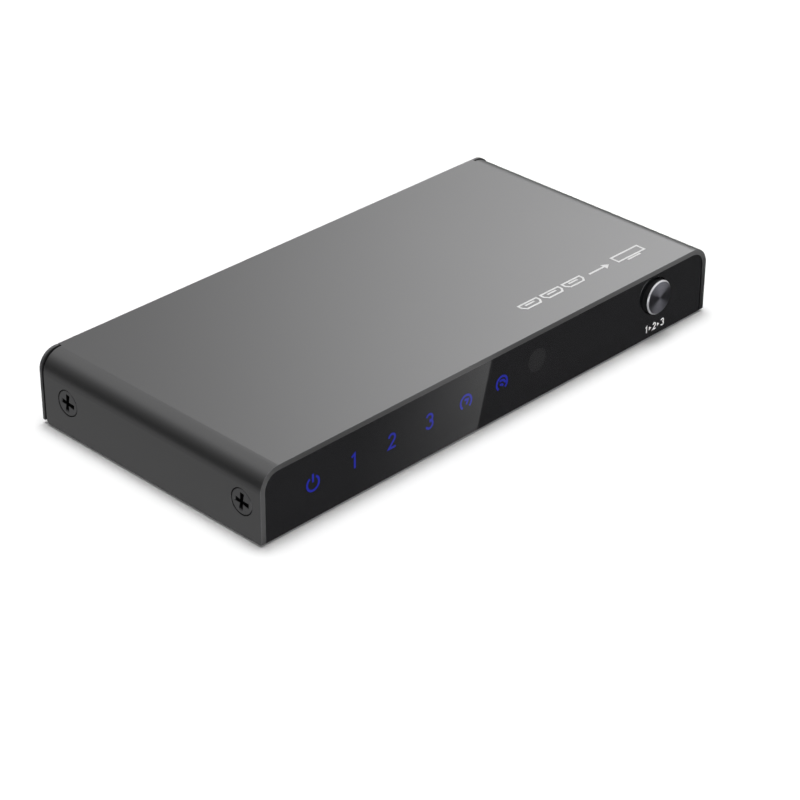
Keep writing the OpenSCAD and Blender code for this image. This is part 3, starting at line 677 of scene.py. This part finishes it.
def power_sign():
    return [arc((0, -0.05), 0.42, 122, 418, 40), [(0, 0.52), (0, 0.03)]]


def turn_sign():
    return [
        arc((0, 0), 0.42, -52, 232, 36),
        [(0.02, -0.16), (0.16, 0.12), (-0.12, 0.16)],
    ]


def wave_sign():
    return [
        arc((0, 0), 0.42, -52, 232, 36),
        arc((-0.06, -0.20), 0.13, 0, 130, 10),
        arc((-0.06, -0.20), 0.38, 20, 110, 12),
    ]


def finish_marks(mesh, name, finish):
    bmesh.ops.recalc_face_normals(mesh, faces=mesh.faces[:])
    data = bpy.data.meshes.new(name)
    mesh.to_mesh(data)
    mesh.free()
    piece = bpy.data.objects.new(name, data)
    bpy.context.scene.collection.objects.link(piece)
    data.materials.append(finish)
    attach(piece, "case")


SIGN_SIZE = 3.95
DIGIT_SIZE = 3.6
SIGN_STROKE = 0.5


def draw_signs():
    signs = {
        "sign_power": (power_sign(), SIGN_SIZE),
        "sign_1": (DIGITS[1], DIGIT_SIZE),
        "sign_2": (DIGITS[2], DIGIT_SIZE),
        "sign_3": (DIGITS[3], DIGIT_SIZE),
        "sign_turn": (turn_sign(), SIGN_SIZE),
        "sign_wave": (wave_sign(), SIGN_SIZE),
    }
    for index, (name, (strokes, size)) in enumerate(signs.items()):
        mesh = bmesh.new()
        pipe_low, pipe_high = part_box("light_pipe_%d" % (index + 1))
        middle = (pipe_low + pipe_high) / 2 / MM
        add_sign(mesh, front_face, strokes, (middle.x, middle.z), size, SIGN_STROKE)
        finish_marks(mesh, name, SIGN_BLUE)


IR_MIDDLE = (12.0, 10.15)
IR_RADIUS = 2.8


def draw_receiver_window():
    mesh = bmesh.new()
    add_patch(mesh, front_face, arc(IR_MIDDLE, IR_RADIUS, 0, 352.5, 47))
    finish_marks(mesh, "receiver_window", SMOKED_WINDOW)


def triangle(middle, size):
    return at(middle, size, [(-0.4, 0.5), (-0.4, -0.5), (0.45, 0.0)])


BUTTON_PRINT_X = 52.3
BUTTON_PRINT_Z = 2.78
BUTTON_DIGIT_SIZE = 1.7
BUTTON_DIGIT_STROKE = 0.32
BUTTON_DIGIT_STEP = 2.9
BUTTON_ARROW_SIZE = 0.95


def draw_button_print():
    """The order in which the button steps through the inputs."""
    mesh = bmesh.new()
    for digit in (1, 2, 3):
        middle = (BUTTON_PRINT_X + (digit - 2) * BUTTON_DIGIT_STEP, BUTTON_PRINT_Z)
        add_sign(mesh, front_face, DIGITS[digit], middle, BUTTON_DIGIT_SIZE, BUTTON_DIGIT_STROKE)
    for shift in (-1.42, 1.45):
        middle = (BUTTON_PRINT_X + shift, BUTTON_PRINT_Z)
        add_patch(mesh, front_face, triangle(middle, BUTTON_ARROW_SIZE))
    finish_marks(mesh, "button_print", PLATE_WHITE)


def socket_sign(middle, size):
    outline = [(-0.95, 0.34), (0.95, 0.34), (0.95, -0.02), (0.70, -0.34), (-0.70, -0.34), (-0.95, -0.02)]
    return at(middle, size, outline)


COVER_PRINT_Y = -25.2
COVER_STROKE = 0.5
COVER_SOCKETS_X = (19.8, 27.0, 34.2)
SOCKET_SIGN_SIZE = 3.1
ARROW_X = 41.9
ARROW_LENGTH = 5.0
ARROW_STROKE = 0.55
ARROW_HEAD_X = 45.3
ARROW_HEAD_SIZE = 2.2
SCREEN_X = 53.2
SCREEN_HALF = 4.5


def draw_cover_print():
    """Three sockets, an arrow and one screen."""
    mesh = bmesh.new()
    for x in COVER_SOCKETS_X:
        outline = socket_sign((x, COVER_PRINT_Y), SOCKET_SIGN_SIZE)
        add_stroke(mesh, top_face, outline, COVER_STROKE, closed=True)
        add_bar(mesh, top_face, (x, COVER_PRINT_Y + 0.25), 3.0, COVER_STROKE)
    add_bar(mesh, top_face, (ARROW_X, COVER_PRINT_Y), ARROW_LENGTH, ARROW_STROKE)
    add_patch(mesh, top_face, triangle((ARROW_HEAD_X, COVER_PRINT_Y), ARROW_HEAD_SIZE))
    low, high = COVER_PRINT_Y - 0.8, COVER_PRINT_Y + 1.6
    screen = box_outline(SCREEN_X - SCREEN_HALF, SCREEN_X + SCREEN_HALF, low, high)
    add_stroke(mesh, top_face, screen, COVER_STROKE, closed=True)
    add_bar(mesh, top_face, (SCREEN_X, COVER_PRINT_Y - 1.55), 4.4, COVER_STROKE)
    finish_marks(mesh, "cover_print", COVER_GREY)


REAR_PRINT_Z = 14.35
REAR_DIGIT_SIZE = 2.1
REAR_DIGIT_STROKE = 0.34
SCREEN_STROKE = 0.3
CURRENT_STROKE = 0.32


def print_over(node):
    """The middle of the print above a socket, seen from behind."""
    low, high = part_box(node)
    return -(low.x + high.x) / 2 / MM, REAR_PRINT_Z


def draw_rear_prints():
    """Input numbers, a screen over the output and the direct-current sign over the power inlet."""
    mesh = bmesh.new()
    for digit in (1, 2, 3):
        middle = print_over("input_%d_shell" % digit)
        add_sign(mesh, rear_face, DIGITS[digit], middle, REAR_DIGIT_SIZE, REAR_DIGIT_STROKE)
    across, up = print_over("output_shell")
    screen = box_outline(across - 1.9, across + 1.9, up - 0.6, up + 1.0)
    add_stroke(mesh, rear_face, screen, SCREEN_STROKE, closed=True)
    add_bar(mesh, rear_face, (across, up - 1.05), 1.8, SCREEN_STROKE)
    across, up = print_over("power_shell")
    add_bar(mesh, rear_face, (across, up + 0.35), 3.2, CURRENT_STROKE)
    for shift in (-1.2, 0.0, 1.2):
        add_bar(mesh, rear_face, (across + shift, up - 0.35), 0.8, CURRENT_STROKE)
    finish_marks(mesh, "rear_prints", PLATE_WHITE)


place_camera()
dress_solids()
draw_signs()
draw_receiver_window()
draw_button_print()
draw_cover_print()
draw_rear_prints()


# Studio, in metres: a white room and floor, three soft lights, and cards that only reflections see

AMBIENT = 0.11
# The floor's own glow grows between the two near distances, and again out to the far one
FLOOR_NEAR = (0.08, 0.22)
FLOOR_NEAR_GLOW = (0.06, 0.25)
FLOOR_FAR = 1.4
FLOOR_FAR_GLOW = 0.75


def bright_rays(tree):
    """1 for the rays that see the background itself: from the camera, or by reflection or through glass."""
    rays = tree.nodes.new("ShaderNodeLightPath").outputs
    seen = reckon(tree, "MAXIMUM", rays["Is Camera Ray"], rays["Is Glossy Ray"])
    return reckon(tree, "MAXIMUM", seen, rays["Is Transmission Ray"])


def white_world():
    """White to the eye; in gloss it is white too, but dims towards the horizon on the left."""
    world = bpy.data.worlds.new("white_room")
    world.use_nodes = True
    tree = world.node_tree
    tree.nodes.clear()
    way = put(tree, "ShaderNodeSeparateXYZ")
    feed(tree, way.inputs[0], put(tree, "ShaderNodeTexCoord").outputs["Generated"])
    flat = reckon(tree, "SQRT", reckon(tree, "SUBTRACT", 1.0, reckon(tree, "POWER", way.outputs["Z"], 2.0)))
    leftward = reckon(tree, "DIVIDE", way.outputs["X"], reckon(tree, "MAXIMUM", flat, 0.01))
    dim = ramp(tree, leftward, -0.15, -0.65)
    climb = put(tree, "ShaderNodeValToRGB")
    feed(tree, climb.inputs[0], way.outputs["Z"])
    stops = climb.color_ramp.elements
    stops[0].position = 0.0
    stops[0].color = (0.13, 0.13, 0.13, 1)
    stops[1].position = 0.82
    stops[1].color = (1.15, 1.15, 1.15, 1)
    for position, level in ((0.28, 0.22), (0.52, 0.38), (0.68, 0.58)):
        stop = stops.new(position)
        stop.color = (level, level, level, 1)
    gloss = mix_value(tree, dim, ramp(tree, way.outputs["Z"], 0.55, 0.85, 1.0, 1.2), climb.outputs[0])
    rays = tree.nodes.new("ShaderNodeLightPath").outputs
    seen = mix_value(tree, rays["Is Glossy Ray"], 1.0, gloss)
    strength = mix_value(tree, bright_rays(tree), AMBIENT, seen)
    glow = put(tree, "ShaderNodeBackground", Color=(1, 1, 1, 1), Strength=strength)
    out = tree.nodes.new("ShaderNodeOutputWorld")
    tree.links.new(glow.outputs[0], out.inputs[0])
    bpy.context.scene.world = world


def sheet_object(name, corners, finish):
    data = bpy.data.meshes.new(name)
    data.from_pydata(corners, [], [tuple(range(len(corners)))])
    piece = bpy.data.objects.new(name, data)
    bpy.context.scene.collection.objects.link(piece)
    data.materials.append(finish)
    return piece


def white_floor():
    """White, with a glow that grows with distance, so that it stays white where less light falls."""
    finish, tree, shader = new_finish("white_floor")
    shader.inputs["Base Color"].default_value = (0.95, 0.95, 0.95, 1)
    shader.inputs["Roughness"].default_value = 1.0
    shader.inputs["Specular IOR Level"].default_value = 0.0
    shader.inputs["Emission Color"].default_value = (1, 1, 1, 1)
    away = put(tree, "ShaderNodeVectorMath", {"operation": "LENGTH"})
    feed(tree, away.inputs[0], local_point(tree))
    near_glow = ramp(tree, away.outputs["Value"], *FLOOR_NEAR, *FLOOR_NEAR_GLOW)
    far_glow = ramp(tree, away.outputs["Value"], FLOOR_NEAR[1], FLOOR_FAR, 0.0, FLOOR_FAR_GLOW)
    glow = reckon(tree, "ADD", near_glow, far_glow)
    feed(tree, shader.inputs["Emission Strength"], reckon(tree, "MULTIPLY", bright_rays(tree), glow))
    sheet_object("floor", [(-4, -4, 0), (4, -4, 0), (4, 4, 0), (-4, 4, 0)], finish)


def glowing(name):
    """A finish that only glows; the strength is fed by the caller."""
    finish = bpy.data.materials.new(name)
    finish.use_nodes = True
    tree = finish.node_tree
    tree.nodes.clear()
    glow = put(tree, "ShaderNodeEmission", Color=(1, 1, 1, 1))
    out = tree.nodes.new("ShaderNodeOutputMaterial")
    tree.links.new(glow.outputs[0], out.inputs[0])
    return finish, tree, glow.inputs["Strength"]


def hang_card(name, corners, finish):
    """A sheet that only reflections see."""
    card = sheet_object(name, corners, finish)
    card.visible_camera = False
    card.visible_diffuse = False
    card.visible_shadow = False
    card.visible_transmission = False


def lay_card(name, points, height, finish):
    hang_card(name, [(x, y, height) for x, y in points], finish)


# Cards on the floor lie a little over it, and over each other
FRONT_CARD_Z = 0.0002
SIDE_CARD_Z = 0.0003
GLOW_CARD_Z = 0.0004
# Where the front card ends and the front glow begins, and the left corner that they share
FRONT_CARD_END = -0.0595
FRONT_CARD_CORNER = (-0.0455, FRONT_CARD_END)
SIDE_CARD_X = 0.0705
SIDE_CARD_REACH = 1.2

# The floor line whose reflection makes the plate's slanting gloss edge
GLOSS_NEAR = Vector((-5.722, -35.240)) * MM
GLOSS_FAR = Vector((17.698, -52.758)) * MM
GLOSS_FADE = 46 * MM
GLOSS_DARK = 0.145
GLOSS_LEFT = 0.17
GLOSS_LIGHT = 1.0

# What the other cards give
FRONT_GLOW = 1.5
LEFT_FADE = (-0.088, -0.18)
LEFT_LIGHT = (0.54, 0.12)
RIGHT_LIGHT = 0.12
SKIRT_LIGHT = 0.36
BUTTON_GLOW = 4.2
# The patch that the button mirrors: its slants and distances from the cap, each from dark to bright to dark
PATCH_SLANTS = (0.20, 0.55, 1.3, 1.9)
PATCH_REACH = (0.024, 0.042, 0.13, 0.21)
SOFTBOX_LIGHT = (0.3, 5.1)
SOFTBOX_RISE = 0.62


def front_card():
    """In front of the plate: dark on the right; on the left bright at the line and fading outwards."""
    finish, tree, strength = glowing("front_card")
    place = local_axes(tree)
    slope = (GLOSS_FAR.x - GLOSS_NEAR.x) / (GLOSS_FAR.y - GLOSS_NEAR.y)
    beyond = reckon(tree, "SUBTRACT", place["Y"], GLOSS_NEAR.y)
    line = reckon(tree, "MULTIPLY_ADD", beyond, slope, GLOSS_NEAR.x)
    past = reckon(tree, "SUBTRACT", place["X"], line)
    right = ramp(tree, past, -0.0002, 0.0002)
    near = reckon(tree, "POWER", ramp(tree, past, -GLOSS_FADE, 0.0, smooth=False), 2.0)
    lifted = ramp(tree, place["Y"], -0.036, -0.052, 0.72, GLOSS_LIGHT)
    fade = mix_value(tree, near, GLOSS_LEFT, lifted)
    feed(tree, strength, mix_value(tree, right, fade, GLOSS_DARK))
    points = [FRONT_CARD_CORNER, (0.1350, FRONT_CARD_END), (0.0900, -0.0340), (-0.0688, -0.0346)]
    lay_card("front_card", points, FRONT_CARD_Z, finish)


def left_card():
    """A grey card beside the left end, darker away from it."""
    finish, tree, strength = glowing("left_card")
    place = local_axes(tree)
    feed(tree, strength, ramp(tree, place["X"], *LEFT_FADE, *LEFT_LIGHT, smooth=False))
    points = [
        (-SIDE_CARD_REACH, -0.12), (-SIDE_CARD_X, -0.0352),
        (-SIDE_CARD_X, SIDE_CARD_REACH), (-SIDE_CARD_REACH, SIDE_CARD_REACH),
    ]
    lay_card("left_card", points, SIDE_CARD_Z, finish)


def plain_glow(name, level):
    finish, _, strength = glowing(name)
    strength.default_value = level
    return finish


def front_glow():
    points = [(-0.2, -0.6), (0.5, -0.6), (0.5, FRONT_CARD_END), FRONT_CARD_CORNER]
    lay_card("front_glow", points, FRONT_CARD_Z, plain_glow("front_glow", FRONT_GLOW))


def right_card():
    points = [
        (SIDE_CARD_X, -0.034), (SIDE_CARD_REACH, -0.034),
        (SIDE_CARD_REACH, SIDE_CARD_REACH), (SIDE_CARD_X, SIDE_CARD_REACH),
    ]
    lay_card("right_card", points, SIDE_CARD_Z, plain_glow("right_card", RIGHT_LIGHT))


def right_skirt():
    """A dim upright card below the soft box."""
    high = 0.335
    corners = [(1.18, -0.2, 0), (0.3, 1.15, 0), (0.3, 1.15, high), (1.18, -0.2, high)]
    hang_card("right_skirt", corners, plain_glow("right_skirt", SKIRT_LIGHT))


def rise_and_fall(tree, value, start, full, fading, end):
    """0 up to the start and past the end, 1 between full and fading."""
    return reckon(tree, "MULTIPLY", ramp(tree, value, start, full), ramp(tree, value, end, fading))


def button_glow():
    """A patch of light on the floor, off to the right of the button, that fades out on all sides."""
    finish, tree, strength = glowing("button_glow")
    place = local_axes(tree)
    ahead = reckon(tree, "SUBTRACT", CAP_LOW.y, place["Y"])
    aside = reckon(tree, "SUBTRACT", place["X"], CAP_MIDDLE.x)
    slant = reckon(tree, "DIVIDE", aside, ahead)
    across = rise_and_fall(tree, slant, *PATCH_SLANTS)
    along = rise_and_fall(tree, ahead, *PATCH_REACH)
    patch = reckon(tree, "MULTIPLY", across, along)
    feed(tree, strength, mix_value(tree, patch, FRONT_GLOW, BUTTON_GLOW))
    rear = FRONT_CARD_END - 0.0001
    points = [(0.05, -0.25), (0.47, -0.25), (0.47, rear), (0.05, rear)]
    lay_card("button_glow", points, GLOW_CARD_Z, finish)


def right_softbox():
    """A tall soft box behind on the right, whose light grows from its left end to its right end."""
    finish, tree, strength = glowing("right_softbox")
    reach = 1.2
    left_end = math.radians(57)
    right_end = math.radians(18)
    low = reach * math.tan(math.radians(16))
    high = reach * math.tan(math.radians(52))
    ends = [Vector((math.cos(a), math.sin(a), 0)) * reach for a in (left_end, right_end)]
    along = (ends[1] - ends[0]).normalized()
    shift = put(tree, "ShaderNodeVectorMath", {"operation": "DOT_PRODUCT"})
    feed(tree, shift.inputs[0], local_point(tree))
    feed(tree, shift.inputs[1], along)
    start = ends[0].dot(along)
    light = ramp(tree, shift.outputs["Value"], start, start + SOFTBOX_RISE, *SOFTBOX_LIGHT, smooth=False)
    feed(tree, strength, light)
    corners = [
        (ends[0].x, ends[0].y, low), (ends[1].x, ends[1].y, low),
        (ends[1].x, ends[1].y, high), (ends[0].x, ends[0].y, high),
    ]
    hang_card("right_softbox", corners, finish)


def soft_light(name, spot, aim, wide, tall, power):
    data = bpy.data.lights.new(name, "AREA")
    data.shape = "RECTANGLE"
    data.size = wide
    data.size_y = tall
    data.energy = power
    lamp = bpy.data.objects.new(name, data)
    bpy.context.scene.collection.objects.link(lamp)
    lamp.location = spot
    lamp.rotation_euler = (Vector(aim) - Vector(spot)).to_track_quat("-Z", "Y").to_euler()
    lamp.visible_glossy = False


white_world()
white_floor()
front_card()
left_card()
front_glow()
right_card()
right_skirt()
right_softbox()
button_glow()
soft_light("overhead_key", (0.04, 0.06, 1.0), (0, 0, 0), 0.28, 0.28, 5.6)
soft_light("overhead_box", (0.05, 0.05, 1.0), (0, 0, 0), 1.0, 1.0, 5.4)
soft_light("front_fill", (-0.35, -1.10, 0.07), (0, 0, 0.01), 0.8, 0.3, 8.0)

bpy.context.scene.view_settings.view_transform = "Standard"
